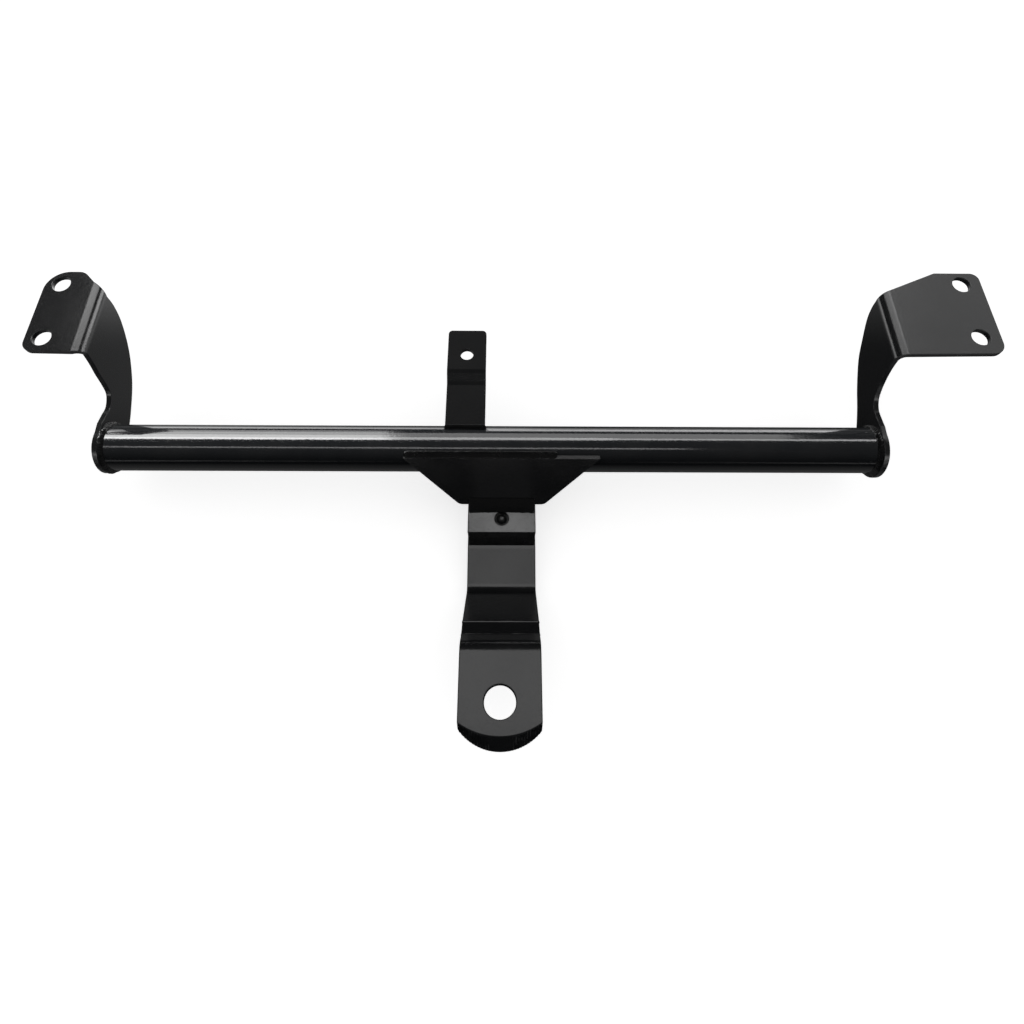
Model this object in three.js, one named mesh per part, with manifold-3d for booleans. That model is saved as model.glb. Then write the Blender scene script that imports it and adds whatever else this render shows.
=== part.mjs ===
// A fixed-tongue tow bar: a round crossbar between two bent end brackets, a stub plate and a leaning
// gusset at its middle, a swan-neck tongue with a ball hole, and a strap that reaches back.
// Millimetres, +X along the crossbar, +Y towards the vehicle, +Z up.
// While it is drawn, the origin is on the crossbar's axis at the tongue's centre line.
import * as THREE from "three";
import { mergeVertices } from "three/addons/utils/BufferGeometryUtils.js";
import Module from "manifold-3d";

const wasm = await Module();
wasm.setup();

// ---- Fits --------------------------------------------------------------------------------------
const GAP = 0.3; // air left between two pieces that are welded together
const CUT = 1; // how far a cutting tool runs past the face it cuts

// ---- Crossbar ----------------------------------------------------------------------------------
const TUBE_R = 22.25; // 44.5 mm pipe
const TUBE_WALL = 3.2;
const SPAN_LEFT = 376.4; // tongue centre line to the left bracket's inner face
const SPAN_RIGHT = 358.8; // and to the right one's

// ---- End brackets ------------------------------------------------------------------------------
const PLATE_T = 5; // bracket plate
const BEND_R = 10; // outside radius of the bend between arm and flange
const FLANGE_Z = 81.5; // flange's upper face above the crossbar's axis
const BOLT_R = 8.4; // bolt holes in the flanges
const BOLT_PITCH = 60;

// ---- Stub plate under the crossbar, and the tongue under the stub ---------------------------------
const BAR_W = 65; // flat bar, stub and tongue alike
const STUB_T = 12;
const STUB_FRONT = 77; // reach in front of the crossbar's axis
const STUB_REAR = 16; // reach behind it
const PLUG_R = 6.5; // plug weld through the stub
const PLUG_Y = -63;

const TONGUE_T = 12;
const TONGUE_REAR = 30; // the tongue starts this far in front of the crossbar's axis
const SLOPE_START = 88; // where it turns down, towards the valley
const VALLEY_OUT = 126; // reach of the valley's corner
const VALLEY_DROP = 9.2; // and its drop below the tongue's rear part
const SHOULDER_OUT = 164.8; // first crease at the head of the rise
const SHOULDER_RISE = 47.5; // its height above the tongue's rear part
const CREST_OUT = 176.5; // second crease
const CREST_RISE = 57.3;
const PLATFORM_OUT = 187; // where the ball platform turns level
const PLATFORM_RISE = 75.6; // platform above the tongue's rear part
const BALL_R = 12.5; // hole for the ball's shank
const BALL_OUT = 229.5;
const NOSE_OUT = 253.7; // nose of the platform, at its upper face
const NOSE_R = 60; // radius of its end, seen from above
const NOSE_BEVEL = 10.7; // how much further it reaches at its lower face
const NOSE_LOW_R = 42.5; // radius of its end there

// ---- Gusset ------------------------------------------------------------------------------------
const GUSSET_T = 6;
const GUSSET_LEAN = THREE.MathUtils.degToRad(33.3); // its contact with the tube, above the level
const GUSSET_UP = 7.5; // reach above that contact, along the plate
const GUSSET_TOP_W = 183;
const GUSSET_FOOT_W = 82;
const GUSSET_CORNER = 8;

// ---- Strap -------------------------------------------------------------------------------------
const STRAP_W = 38;
const STRAP_T = 6;
const STRAP_X = -35.2;
const STRAP_FACE = 0.8; // upper face of its front part above the top of the tube
const STRAP_JOG = 7; // rise of the joggle
const STRAP_JOG_Y = 60;
const STRAP_JOG_RUN = 10;
const STRAP_END = 117.3;
const STRAP_HOLE_R = 6.5;
const STRAP_HOLE_Y = 89.4;
const STRAP_CORNER = 4;

// ---- Weld beads --------------------------------------------------------------------------------
const RING_LEG = 3; // fillet between the tube and each bracket
const FOOT_LEG = 8.5; // fillet between the gusset and the stub
const REAR_LEG = 6; // beads out of sight from the front
const TOP_BEAD_LEFT = 92; // the gusset's top bead, left and right of the centre line
const TOP_BEAD_RIGHT = 52;
const TOP_BEAD_ANGLE = THREE.MathUtils.degToRad(62); // where it ends on the tube
const STRAP_BEAD_ANGLE = THREE.MathUtils.degToRad(58); // the same for the strap's, behind the tube

// ---- Solids ------------------------------------------------------------------------------------

// A closed geometry as a solid that can be cut.
function solid(geometry) {
  const bare = geometry.clone();
  bare.deleteAttribute("normal");
  bare.deleteAttribute("uv");
  const merged = mergeVertices(bare, 1e-4);
  return new wasm.Manifold(
    new wasm.Mesh({
      numProp: 3,
      vertProperties: new Float32Array(merged.attributes.position.array),
      triVerts: new Uint32Array(merged.index.array),
    })
  );
}

// A cut solid as a geometry again.
function geometryOf(body) {
  const mesh = body.getMesh();
  const out = new THREE.BufferGeometry();
  out.setAttribute("position", new THREE.BufferAttribute(mesh.vertProperties, 3));
  out.setIndex(new THREE.BufferAttribute(mesh.triVerts, 1));
  const flat = out.toNonIndexed();
  flat.computeVertexNormals();
  return flat;
}

// A flat shape made deep along its third axis, from depth `from` to depth `to`.
function slab(shape, from, to, segments = 24) {
  const options = { depth: to - from, bevelEnabled: false, curveSegments: segments };
  return new THREE.ExtrudeGeometry(shape, options).translate(0, 0, from);
}

// The plane of a shape turned to (Y, Z), its depth to X.
const TO_YZ = new THREE.Matrix4().makeBasis(
  new THREE.Vector3(0, 1, 0),
  new THREE.Vector3(0, 0, 1),
  new THREE.Vector3(1, 0, 0)
);

// A prism along X from a closed outline of [y, z] points.
function prismX(points, from, to) {
  const shape = new THREE.Shape(points.map(([y, z]) => new THREE.Vector2(y, z)));
  return slab(shape, from, to).applyMatrix4(TO_YZ);
}

// An upright round cutter.
function drill(x, y, r, from, to) {
  const hole = new THREE.CylinderGeometry(r, r, to - from, 48);
  return hole.rotateX(Math.PI / 2).translate(x, y, (from + to) / 2);
}

// A closed outline whose corners are rounded, each by its own radius.
function roundedShape(corners) {
  const shape = new THREE.Shape();
  corners.forEach(([x, y, r], i) => {
    const here = new THREE.Vector2(x, y);
    const before = corners[(i + corners.length - 1) % corners.length];
    const after = corners[(i + 1) % corners.length];
    const back = new THREE.Vector2(before[0] - x, before[1] - y).normalize();
    const on = new THREE.Vector2(after[0] - x, after[1] - y).normalize();
    const half = Math.acos(THREE.MathUtils.clamp(back.dot(on), -1, 1)) / 2;
    const run = r / Math.tan(half);
    const a = here.clone().addScaledVector(back, run);
    const b = here.clone().addScaledVector(on, run);
    if (i === 0) shape.moveTo(a.x, a.y);
    else shape.lineTo(a.x, a.y);
    if (r > 0) {
      const middle = back.clone().add(on).normalize();
      const c = here.clone().addScaledVector(middle, r / Math.sin(half));
      const turn = back.cross(on) < 0;
      const start = Math.atan2(a.y - c.y, a.x - c.x);
      const end = Math.atan2(b.y - c.y, b.x - c.x);
      shape.absarc(c.x, c.y, r, start, end, !turn);
    }
  });
  shape.closePath();
  return shape;
}

// The outline of a flat bar bent along a path, as [y, z] points.
// Each path point is [y, z, radius of the bar's upper face there]; the bar hangs `t` below its path.
function bentBar(path, t) {
  const upper = [];
  const lower = [];
  const put = (p, n) => {
    upper.push([p.x, p.y]);
    lower.push([p.x - n.x * t, p.y - n.y * t]);
  };
  const at = path.map(([y, z]) => new THREE.Vector2(y, z));
  // The upward normal of a stretch that runs from a to b.
  const normal = (a, b) => {
    const d = b.clone().sub(a).normalize();
    return d.x < 0 ? new THREE.Vector2(d.y, -d.x) : new THREE.Vector2(-d.y, d.x);
  };
  put(at[0], normal(at[0], at[1]));
  for (let i = 1; i < at.length - 1; i++) {
    const n0 = normal(at[i - 1], at[i]);
    const n1 = normal(at[i], at[i + 1]);
    const back = at[i - 1].clone().sub(at[i]).normalize();
    const turn = n0.angleTo(n1);
    const r = path[i][2];
    const start = at[i].clone().addScaledVector(back, r * Math.tan(turn / 2));
    // In a valley the centre is above the bar, on a crest below it.
    const on = at[i + 1].clone().sub(at[i]).normalize();
    const side = back.clone().add(on).dot(n0) > 0 ? 1 : -1;
    const centre = start.clone().addScaledVector(n0, side * r);
    const steps = Math.max(3, Math.ceil(turn / 0.12));
    for (let k = 0; k <= steps; k++) {
      const n = n0.clone().lerp(n1, k / steps);
      const swing = (Math.atan2(n1.y, n1.x) - Math.atan2(n0.y, n0.x)) * (k / steps);
      n.copy(n0).rotateAround(new THREE.Vector2(), swing);
      put(centre.clone().addScaledVector(n, -side * r), n);
    }
  }
  put(at.at(-1), normal(at.at(-2), at.at(-1)));
  return [...upper, ...lower.reverse()];
}

// A bead with a slightly domed face between two toes, on the corner behind them.
function bead(toeA, toeB, corner, dome) {
  const a = new THREE.Vector2(...toeA);
  const b = new THREE.Vector2(...toeB);
  const out = b.clone().sub(a).normalize().rotateAround(new THREE.Vector2(), Math.PI / 2);
  const away = out.dot(new THREE.Vector2(...corner[0]).sub(a)) > 0 ? -1 : 1;
  const face = [];
  for (let k = 0; k <= 6; k++) {
    const p = a.clone().lerp(b, k / 6);
    p.addScaledVector(out, away * dome * Math.sin((Math.PI * k) / 6));
    face.push([p.x, p.y]);
  }
  return [...face, ...corner];
}

// ---- Crossbar ----------------------------------------------------------------------------------

function crossbar() {
  const from = -SPAN_LEFT + GAP;
  const to = SPAN_RIGHT - GAP;
  const bore = TUBE_R - TUBE_WALL;
  const wall = [
    [TUBE_R, from],
    [TUBE_R, to],
    [bore, to],
    [bore, from],
    [TUBE_R, from],
  ].map(([r, x]) => new THREE.Vector2(r, x));
  return new THREE.LatheGeometry(wall, 72).rotateZ(-Math.PI / 2);
}

// ---- End brackets ------------------------------------------------------------------------------

const ARM_TOP = FLANGE_Z - BEND_R; // where the arm ends and the bend starts

// The two arms: how far the round end stands out past the tube, and the edges as [y, z] points.
// The far edge sweeps up under the vehicle, and the near edge rises from a waist at the round end.
const LEFT_ARM = {
  rim: 2.65,
  far: [
    [28, -18.2], [47.5, -12.7], [71.3, -3.3], [92.4, 10.8],
    [106.8, 25.3], [118.7, 42.7], [124.6, 59], [125.7, ARM_TOP],
  ],
  near: [
    [60.4, ARM_TOP], [57.4, 60], [53, 47.5], [49.3, 34.5],
    [44.6, 24.6], [34, 20.2], [24, 22.4], [14, 25],
  ],
};
const RIGHT_ARM = {
  rim: 4.35,
  far: [
    [27, -15], [46, -4], [67.6, 6.2], [90.8, 20.3],
    [105.2, 34.9], [118.2, 50.3], [123.7, 62], [125.4, ARM_TOP],
  ],
  near: [
    [58.2, ARM_TOP], [56, 60], [52, 48], [47, 37.2],
    [40.8, 28.4], [32, 24.2], [23, 24.8], [13, 26.6],
  ],
};
const NEAR_JOIN = THREE.MathUtils.degToRad(80); // where the edges leave the round end
const FAR_JOIN = THREE.MathUtils.degToRad(-62);

// The flanges: their edges where the bend ends, and the outer corners from the far edge round
// to the near one, as [distance out from the arm's inner face, y, corner radius].
const LEFT_FLANGE = {
  near: 57.2,
  far: 135.4,
  corners: [[21.5, 147, 12], [55.1, 147, 21], [55.1, 58, 10]],
  bolts: [39.6, 102.3],
};
const RIGHT_FLANGE = {
  near: 58.6,
  far: 130.9,
  corners: [[58, 151.5, 6], [100.2, 151.5, 8], [100.2, 60, 12]],
  bolts: [81, 107.9],
};

// The arm's outline, up to the bend. Its round end is centred on the crossbar's axis.
function armShape(arm) {
  const rim = TUBE_R + arm.rim;
  const shape = new THREE.Shape();
  shape.absarc(0, 0, rim, NEAR_JOIN, FAR_JOIN + 2 * Math.PI, false);
  shape.splineThru(arm.far.map(([y, z]) => new THREE.Vector2(y, z)));
  shape.lineTo(...arm.near[0]);
  shape.splineThru(arm.near.slice(1).map(([y, z]) => new THREE.Vector2(y, z)));
  shape.closePath();
  return shape;
}

// The bend from the arm's top to the flange, whose edges run straight from the one to the other.
function bendOf(arm, flange) {
  const steps = 16;
  const inside = BEND_R - PLATE_T;
  const points = [];
  const faces = [];
  for (let k = 0; k <= steps; k++) {
    const turn = (Math.PI / 2) * (k / steps);
    const near = THREE.MathUtils.lerp(arm.near[0][0], flange.near, k / steps);
    const far = THREE.MathUtils.lerp(arm.far.at(-1)[0], flange.far, k / steps);
    for (const [r, y] of [[BEND_R, near], [BEND_R, far], [inside, far], [inside, near]]) {
      points.push(BEND_R - r * Math.cos(turn), y, ARM_TOP + r * Math.sin(turn));
    }
  }
  for (let k = 0; k < steps; k++) {
    for (let j = 0; j < 4; j++) {
      const a = 4 * k + j;
      const b = 4 * k + ((j + 1) % 4);
      faces.push(a, b + 4, b, a, a + 4, b + 4);
    }
  }
  const last = 4 * steps;
  faces.push(0, 1, 2, 0, 2, 3, last, last + 2, last + 1, last, last + 3, last + 2);
  const bend = new THREE.BufferGeometry();
  bend.setAttribute("position", new THREE.Float32BufferAttribute(points, 3));
  bend.setIndex(faces);
  return bend;
}

// A bracket drawn as the right-hand one, with its inner face at x = 0; `side` -1 mirrors it.
function bracket(arm, flange, side, span) {
  const leg = solid(slab(armShape(arm), 0, PLATE_T, 16).applyMatrix4(TO_YZ));
  const edge = [[BEND_R, flange.near, 0], [BEND_R, flange.far, 0]];
  const outline = roundedShape([...edge, ...flange.corners]);
  let cap = solid(slab(outline, FLANGE_Z - PLATE_T, FLANGE_Z, 12));
  for (const step of [-0.5, 0.5]) {
    const y = flange.bolts[1] + step * BOLT_PITCH;
    const hole = drill(flange.bolts[0], y, BOLT_R, FLANGE_Z - PLATE_T - CUT, FLANGE_Z + CUT);
    cap = cap.subtract(solid(hole));
  }
  const body = geometryOf(leg.add(solid(bendOf(arm, flange))).add(cap));
  if (side < 0) {
    body.scale(-1, 1, 1);
    flip(body);
  }
  return body.translate(side * span, 0, 0);
}

// Turns every face round, after a mirroring.
function flip(geometry) {
  const p = geometry.getAttribute("position");
  for (let i = 0; i < p.count; i += 3) {
    const keep = [p.getX(i), p.getY(i), p.getZ(i)];
    p.setXYZ(i, p.getX(i + 1), p.getY(i + 1), p.getZ(i + 1));
    p.setXYZ(i + 1, ...keep);
  }
  geometry.computeVertexNormals();
}

// ---- Stub, tongue and plug ---------------------------------------------------------------------

const STUB_TOP = -TUBE_R - GAP;
const STUB_BOTTOM = STUB_TOP - STUB_T;
const TONGUE_TOP = STUB_BOTTOM - GAP;
const PLATFORM_Z = TONGUE_TOP + PLATFORM_RISE;
const HALF_W = BAR_W / 2;

function stub() {
  const bar = prismX(
    [[-STUB_FRONT, STUB_TOP], [STUB_REAR, STUB_TOP], [STUB_REAR, STUB_BOTTOM], [-STUB_FRONT, STUB_BOTTOM]],
    -HALF_W,
    HALF_W
  );
  const hole = drill(0, PLUG_Y, PLUG_R, STUB_BOTTOM - CUT, STUB_TOP + CUT);
  return geometryOf(solid(bar).subtract(solid(hole)));
}

function plug() {
  return drill(0, PLUG_Y, PLUG_R - GAP, STUB_BOTTOM, STUB_TOP - 0.5);
}

function tongue() {
  const nose = NOSE_OUT + NOSE_BEVEL + CUT;
  const path = [
    [-TONGUE_REAR, TONGUE_TOP, 0],
    [-SLOPE_START, TONGUE_TOP, TONGUE_T + 4],
    [-VALLEY_OUT, TONGUE_TOP - VALLEY_DROP, 9],
    [-SHOULDER_OUT, TONGUE_TOP + SHOULDER_RISE, TONGUE_T + 2],
    [-CREST_OUT, TONGUE_TOP + CREST_RISE, TONGUE_T + 2],
    [-PLATFORM_OUT, PLATFORM_Z, TONGUE_T + 2],
    [-nose, PLATFORM_Z, 0],
  ];
  const bar = solid(prismX(bentBar(path, TONGUE_T), -HALF_W, HALF_W));
  // The nose: an arc seen from above, which slants out to a rounder arc at the lower face.
  const deep = 150;
  const arc = (x, out, r) => -out + r - Math.sqrt(r * r - x * x);
  const keep = new THREE.BoxGeometry(BAR_W + 2 * CUT, nose, deep + CUT, 32, 1, 1);
  keep.translate(0, -nose / 2, PLATFORM_Z + CUT - (deep + CUT) / 2);
  const at = keep.getAttribute("position");
  for (let i = 0; i < at.count; i++) {
    if (at.getY(i) > -1) continue;
    const x = at.getX(i);
    const upper = arc(x, NOSE_OUT, NOSE_R);
    const lower = arc(x, NOSE_OUT + NOSE_BEVEL, NOSE_LOW_R);
    at.setY(i, THREE.MathUtils.lerp(upper, lower, (PLATFORM_Z - at.getZ(i)) / TONGUE_T));
  }
  const hole = drill(0, -BALL_OUT, BALL_R, PLATFORM_Z - TONGUE_T - CUT, PLATFORM_Z + CUT);
  return geometryOf(bar.intersect(solid(keep)).subtract(solid(hole)));
}

// ---- Gusset ------------------------------------------------------------------------------------

const LEAN_OUT = new THREE.Vector2(-Math.cos(GUSSET_LEAN), Math.sin(GUSSET_LEAN));
const LEAN_DOWN = new THREE.Vector2(-Math.sin(GUSSET_LEAN), -Math.cos(GUSSET_LEAN));
const GUSSET_BACK = TUBE_R + GAP; // its back face, from the crossbar's axis
const GUSSET_FRONT = GUSSET_BACK + GUSSET_T;

// A point of the gusset's section: `off` from the axis across the plate, `along` down it.
function onGusset(off, along) {
  return LEAN_OUT.clone().multiplyScalar(off).addScaledVector(LEAN_DOWN, along).toArray();
}

// How far down a face of the gusset meets the stub's upper face.
function gussetFoot(off) {
  return (off * LEAN_OUT.y - (STUB_TOP + GAP)) / Math.cos(GUSSET_LEAN);
}

function gusset() {
  const down = gussetFoot(GUSSET_FRONT);
  const long = gussetFoot(GUSSET_BACK);
  const plate = prismX(
    [
      onGusset(GUSSET_FRONT, -GUSSET_UP),
      onGusset(GUSSET_FRONT, down),
      onGusset(GUSSET_BACK, long),
      onGusset(GUSSET_BACK, -GUSSET_UP),
    ],
    -GUSSET_TOP_W / 2,
    GUSSET_TOP_W / 2
  );
  // The outline, drawn flat and then leaned like the plate.
  const top = GUSSET_TOP_W / 2;
  const foot = GUSSET_FOOT_W / 2;
  const outline = roundedShape([
    [-top, -GUSSET_UP, 0],
    [top, -GUSSET_UP, 0],
    [foot, down, GUSSET_CORNER],
    [-foot, down, GUSSET_CORNER],
  ]);
  const lean = new THREE.Matrix4().makeBasis(
    new THREE.Vector3(1, 0, 0),
    new THREE.Vector3(0, LEAN_DOWN.x, LEAN_DOWN.y),
    new THREE.Vector3(0, -LEAN_DOWN.y, LEAN_DOWN.x)
  );
  const cutter = slab(outline, -60, 60).applyMatrix4(lean);
  return geometryOf(solid(plate).intersect(solid(cutter)));
}

// ---- Strap -------------------------------------------------------------------------------------

const STRAP_Z = TUBE_R + STRAP_FACE;

function strap() {
  // It starts where its lower face meets the tube behind the top.
  const low = STRAP_Z - STRAP_T;
  const start = Math.sqrt((TUBE_R + GAP) ** 2 - low ** 2);
  const path = [
    [start, STRAP_Z, 0],
    [STRAP_JOG_Y, STRAP_Z, STRAP_T + 2],
    [STRAP_JOG_Y + STRAP_JOG_RUN, STRAP_Z + STRAP_JOG, STRAP_T + 2],
    [STRAP_END, STRAP_Z + STRAP_JOG, 0],
  ];
  const half = STRAP_W / 2;
  const bar = prismX(bentBar(path, STRAP_T), STRAP_X - half, STRAP_X + half);
  const outline = roundedShape([
    [STRAP_X - half, 0, 0],
    [STRAP_X + half, 0, 0],
    [STRAP_X + half, STRAP_END, STRAP_CORNER],
    [STRAP_X - half, STRAP_END, STRAP_CORNER],
  ]);
  const hole = drill(STRAP_X, STRAP_HOLE_Y, STRAP_HOLE_R, 0, 100);
  const kept = solid(bar).intersect(solid(slab(outline, 0, 100)));
  return geometryOf(kept.subtract(solid(hole)));
}

// ---- Weld beads --------------------------------------------------------------------------------

// A fillet round the tube against a bracket's inner face at `x`, growing along `way`.
function ringBead(x, way) {
  const r = TUBE_R + GAP;
  const face = x + way * GAP;
  const profile = bead([r + RING_LEG, face], [r, face + way * RING_LEG * 1.3], [[r, face]], 0.6);
  const points = [...profile, profile[0]].map(([rr, xx]) => new THREE.Vector2(rr, xx));
  if (way < 0) points.reverse();
  return new THREE.LatheGeometry(points, 72).rotateZ(-Math.PI / 2);
}

// A point on the tube's skin, one gap clear of it, at an angle above the level.
function onTube(angle) {
  const r = TUBE_R + GAP;
  return [-r * Math.cos(angle), r * Math.sin(angle)];
}

// The bead along the gusset's upper edge.
function gussetTopBead() {
  const edge = -GUSSET_UP - GAP;
  const back = Math.sqrt((TUBE_R + 2 * GAP) ** 2 - edge ** 2);
  const low = GUSSET_LEAN + Math.atan2(-edge, back);
  const skin = [];
  for (let k = 0; k <= 4; k++) skin.push(onTube(THREE.MathUtils.lerp(low, TOP_BEAD_ANGLE, k / 4)));
  const corner = [onGusset(Math.max(back, GUSSET_BACK - GAP), edge), ...skin.slice(0, -1)];
  const outline = bead(skin.at(-1), onGusset(GUSSET_FRONT, edge), corner, 0.8);
  return prismX(outline, -TOP_BEAD_LEFT, TOP_BEAD_RIGHT);
}

// The bead between the gusset's front face and the stub.
function gussetFootBead() {
  const off = GUSSET_FRONT + GAP;
  const foot = gussetFoot(off);
  const corner = onGusset(off, foot);
  const up = onGusset(off, foot - FOOT_LEG);
  const out = [corner[0] - FOOT_LEG, corner[1]];
  const inset = HALF_W - 0.5;
  return prismX(bead(out, up, [corner], 0.8), -inset, inset);
}

// The bead between the stub's front edge and the tongue.
function stubFrontBead() {
  const y = -STUB_FRONT - GAP;
  const z = TONGUE_TOP + GAP;
  const leg = STUB_T - 1;
  // It stops where the tongue turns down.
  const out = [Math.max(y - leg, -SLOPE_START + 2), z];
  return prismX(bead(out, [y, z + leg], [[y, z]], 0.8), -HALF_W + 0.5, HALF_W - 0.5);
}

// The bead between the tube and the stub, behind the tube.
function stubRearBead() {
  const z = STUB_TOP + GAP;
  const r = TUBE_R + GAP;
  const low = Math.asin(-z / r);
  const skin = [];
  const high = THREE.MathUtils.degToRad(38);
  for (let k = 0; k <= 4; k++) {
    const a = THREE.MathUtils.lerp(Math.min(low, 1.35), high, k / 4);
    skin.push([r * Math.cos(a), -r * Math.sin(a)]);
  }
  const corner = [[skin[0][0], z], ...skin.slice(0, -1)];
  const out = [STUB_REAR - 0.5, z];
  return prismX(bead(skin.at(-1), out, corner, 0.5), -HALF_W + 0.5, HALF_W - 0.5);
}

// The bead between the tongue's rear edge and the stub above it.
function tongueRearBead() {
  const y = -TONGUE_REAR + GAP;
  const z = STUB_BOTTOM - GAP;
  const outline = bead([y + REAR_LEG, z], [y, z - REAR_LEG], [[y, z]], 0.5);
  return prismX(outline, -HALF_W + 0.5, HALF_W - 0.5);
}

// The bead between the tube's top and the strap's front edge, and the one below the strap.
function strapBead(above) {
  const r = TUBE_R + GAP;
  const low = STRAP_Z - STRAP_T;
  const start = Math.sqrt(r ** 2 - low ** 2) - GAP;
  const half = STRAP_W / 2;
  const skin = [];
  if (above) {
    const from = Math.acos(THREE.MathUtils.clamp(start / r, 0, 1));
    const to = STRAP_BEAD_ANGLE;
    for (let k = 0; k <= 5; k++) {
      const a = THREE.MathUtils.lerp(from, to, k / 5);
      skin.push([r * Math.cos(a), r * Math.sin(a)]);
    }
    const edge = [start, STRAP_Z];
    const outline = bead(skin.at(-1), edge, skin.slice(0, -1), 0.4);
    return prismX(outline, STRAP_X - half, STRAP_X + half);
  }
  const z = low - GAP;
  const from = Math.asin(z / r);
  for (let k = 0; k <= 4; k++) {
    const a = from - k * 0.07;
    skin.push([r * Math.cos(a), r * Math.sin(a)]);
  }
  const edge = [skin[0][0] + REAR_LEG, z];
  const outline = bead(skin.at(-1), edge, skin.slice(0, -1), 0.4);
  return prismX(outline, STRAP_X - half, STRAP_X + half);
}

// ---- Assembly ----------------------------------------------------------------------------------

const PAINT = { color: 0x16171a, roughness: 0.38, metalness: 0.0 };
const BEAD_PAINT = { color: 0x111214, roughness: 0.45, metalness: 0.0 };

const PIECES = [
  ["crossbar_tube", crossbar(), { ...PAINT, roughness: 0.3 }],
  ["bracket_left", bracket(LEFT_ARM, LEFT_FLANGE, -1, SPAN_LEFT), PAINT],
  ["bracket_right", bracket(RIGHT_ARM, RIGHT_FLANGE, 1, SPAN_RIGHT), PAINT],
  ["stub_plate", stub(), PAINT],
  ["tongue_bar", tongue(), PAINT],
  ["gusset_plate", gusset(), PAINT],
  ["rear_strap", strap(), PAINT],
  ["plug_weld", plug(), BEAD_PAINT],
  ["weld_ring_left", ringBead(-SPAN_LEFT, 1), BEAD_PAINT],
  ["weld_ring_right", ringBead(SPAN_RIGHT, -1), BEAD_PAINT],
  ["weld_gusset_top", gussetTopBead(), BEAD_PAINT],
  ["weld_gusset_foot", gussetFootBead(), BEAD_PAINT],
  ["weld_stub_front", stubFrontBead(), BEAD_PAINT],
  ["weld_stub_rear", stubRearBead(), BEAD_PAINT],
  ["weld_tongue_rear", tongueRearBead(), BEAD_PAINT],
  ["weld_strap_top", strapBead(true), BEAD_PAINT],
  ["weld_strap_under", strapBead(false), BEAD_PAINT],
];

const towBar = new THREE.Group();
towBar.name = "tow_bar";
for (const [name, geometry, look] of PIECES) {
  const mesh = new THREE.Mesh(geometry, new THREE.MeshStandardMaterial(look));
  mesh.name = name;
  towBar.add(mesh);
}

// The finished part stands with the middle of its underside on the origin.
const box = new THREE.Box3().setFromObject(towBar);
const middle = box.getCenter(new THREE.Vector3());
for (const mesh of towBar.children) mesh.geometry.translate(-middle.x, -middle.y, -box.min.z);

export default towBar;
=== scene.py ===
import logging
import math
from collections.abc import Callable, Sequence
from dataclasses import dataclass, field
from enum import Enum

import bmesh
import bpy
from mathutils import Matrix, Vector, noise


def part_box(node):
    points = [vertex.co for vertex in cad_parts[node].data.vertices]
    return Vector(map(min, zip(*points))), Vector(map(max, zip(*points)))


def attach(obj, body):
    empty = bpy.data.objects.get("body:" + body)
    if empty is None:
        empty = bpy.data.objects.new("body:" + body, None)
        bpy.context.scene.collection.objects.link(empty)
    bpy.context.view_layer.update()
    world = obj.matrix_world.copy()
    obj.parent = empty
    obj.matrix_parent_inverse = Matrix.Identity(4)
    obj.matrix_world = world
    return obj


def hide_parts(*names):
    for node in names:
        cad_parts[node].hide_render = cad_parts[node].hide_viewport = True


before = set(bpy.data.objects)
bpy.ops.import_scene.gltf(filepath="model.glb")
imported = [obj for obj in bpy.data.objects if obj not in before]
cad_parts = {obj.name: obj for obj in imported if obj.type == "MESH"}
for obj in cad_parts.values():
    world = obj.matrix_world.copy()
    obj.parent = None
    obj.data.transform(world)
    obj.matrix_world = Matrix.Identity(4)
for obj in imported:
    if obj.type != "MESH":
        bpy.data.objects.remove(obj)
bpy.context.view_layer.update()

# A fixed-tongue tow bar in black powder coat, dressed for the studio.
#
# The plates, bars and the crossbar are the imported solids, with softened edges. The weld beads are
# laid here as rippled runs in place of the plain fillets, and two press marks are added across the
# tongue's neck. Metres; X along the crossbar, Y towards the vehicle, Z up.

MM = 0.001
log = logging.getLogger("tow_bar")

Point2 = tuple[float, float]
Point3 = tuple[float, float, float]


class Slot(Enum):
    """The record's finishes."""

    PLATE = "plate_coat"
    TUBE = "tube_coat"
    BEAD = "bead_coat"


# ---- Shader groups ------------------------------------------------------------------------------


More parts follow.
